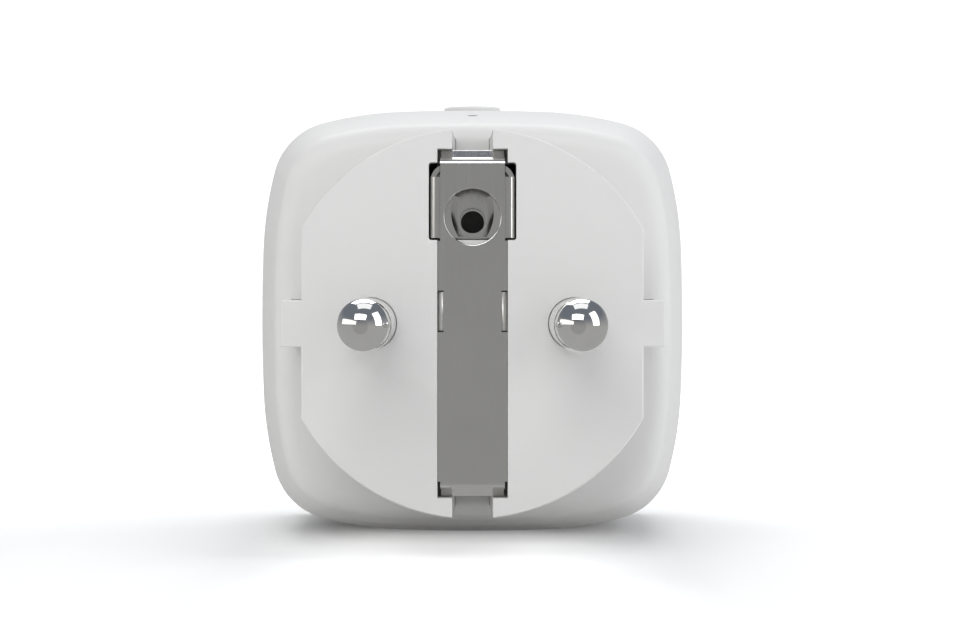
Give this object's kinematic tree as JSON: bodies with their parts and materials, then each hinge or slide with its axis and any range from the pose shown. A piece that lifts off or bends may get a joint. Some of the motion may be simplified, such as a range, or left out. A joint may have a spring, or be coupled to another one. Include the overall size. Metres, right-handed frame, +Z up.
{
  "type": "plug-in power meter",
  "caption": "Compact white mains adapter that measures power: two round pins and an earth strip at the back, a socket at the front, one button and a status light on top.",
  "frame": {"origin": "middle of the plug face, halfway between the two pins", "axes": "+X to the right seen from the pins, +Y from the plug face into the body, +Z up towards the button; the pins point along -Y"},
  "size_m": [0.0444, 0.079, 0.0449],
  "materials": {
    "shell": "satin, very fine texture",
    "pin_plate": "polished nickel plate on brass",
    "earth_metal": "nickel-plated, satin",
    "spring_metal": "satin",
    "contact_bronze": "satin phosphor bronze",
    "carrier_plastic": "satin",
    "board_green": "solder mask",
    "module_blue": "solder mask",
    "screw_steel": "zinc-plated",
    "relay_plastic": "gloss",
    "relay_base_plastic": "satin",
    "bobbin_plastic": "satin",
    "coil_copper": "lacquered copper wire",
    "soft_iron": "satin",
    "terminal_tin": "tinned",
    "shunt_metal": "satin",
    "chip_black": "moulded epoxy",
    "film_yellow": "gloss",
    "can_aluminium": "sleeved can",
    "varistor_blue": "epoxy dip",
    "resistor_body": "matt",
    "fuse_body": "matt",
    "ferrite": "matt",
    "shield_tin": "tinned sheet",
    "antenna_gold": "gold flash",
    "led_epoxy": "clear",
    "light_pipe_clear": "clear"
  },
  "bodies": {
    "meter": {"rear_housing": "shell", "front_cover": "shell", "plug_base": "shell", "live_pin": "pin_plate", "neutral_pin": "pin_plate", "earth_strip": "earth_metal", "earth_pin_contact": "earth_metal", "earth_rivets": "earth_metal", "shutter_spring": "spring_metal", "shutter_holder": "carrier_plastic", "contact_carrier": "carrier_plastic", "live_contact": "contact_bronze", "neutral_contact": "contact_bronze", "main_board": "board_green", "board_screws": "screw_steel", "relay_cover": "relay_plastic", "relay_base": "relay_base_plastic", "relay_terminals": "terminal_tin", "relay_bobbin": "bobbin_plastic", "relay_coil": "coil_copper", "relay_core": "soft_iron", "current_shunt": "shunt_metal", "metering_chip": "chip_black", "power_chips": "chip_black", "bridge_rectifier": "chip_black", "film_capacitor": "film_yellow", "bulk_capacitors": "can_aluminium", "varistor": "varistor_blue", "fusible_resistor": "resistor_body", "thermal_fuse": "fuse_body", "filter_inductor": "ferrite", "control_module": "module_blue", "module_shield": "shield_tin", "processor_chip": "chip_black", "module_antenna": "antenna_gold", "module_header": "terminal_tin", "button_board": "board_green", "button_link": "terminal_tin", "switch_body": "chip_black", "status_led": "led_epoxy", "light_pipe": "light_pipe_clear"},
    "button": {"button_cap": "shell"},
    "switch_button": {"switch_plunger": "carrier_plastic"},
    "shutter_bar": {"shutter": "carrier_plastic"},
    "armature": {"relay_armature": "soft_iron"},
    "upper_clip": {"upper_earth_clip": "spring_metal"},
    "lower_clip": {"lower_earth_clip": "spring_metal"}
  },
  "joints": [
    {"name": "button_press", "type": "slide", "parent": "meter", "child": "button", "axis": [0, 0, -1], "range_m": [0, 0.0003], "stiffness_N_per_m": 2000, "springref_m": -0.0002},
    {"name": "switch_press", "type": "slide", "parent": "meter", "child": "switch_button", "axis": [0, 0, -1], "range_m": [0, 0.0003]},
    {"name": "shutter_slide", "type": "slide", "parent": "meter", "child": "shutter_bar", "axis": [0, 0, 1], "range_m": [0, 0.0062], "stiffness_N_per_m": 120, "springref_m": -0.004, "deforming": ["shutter_spring"]},
    {"name": "relay_pull_in", "type": "hinge", "parent": "meter", "child": "armature", "pos_m": [0.00175, 0.00565, -0.0089], "axis": [0, 0, -1], "range_deg": [0, 4], "stiffness_Nm_per_rad": 0.02, "springref_deg": -5.73},
    {"name": "upper_clip_flex", "type": "hinge", "parent": "meter", "child": "upper_clip", "pos_m": [0, 0.0228, 0.01671], "axis": [1, 0, 0], "range_deg": [0, 2], "stiffness_Nm_per_rad": 3, "springref_deg": -0.57},
    {"name": "lower_clip_flex", "type": "hinge", "parent": "meter", "child": "lower_clip", "pos_m": [0, 0.0228, -0.01671], "axis": [-1, 0, 0], "range_deg": [0, 2], "stiffness_Nm_per_rad": 3, "springref_deg": -0.57}
  ],
  "couplings": [
    {"joint": "switch_press", "follows": "button_press", "ratio": 1}
  ]
}
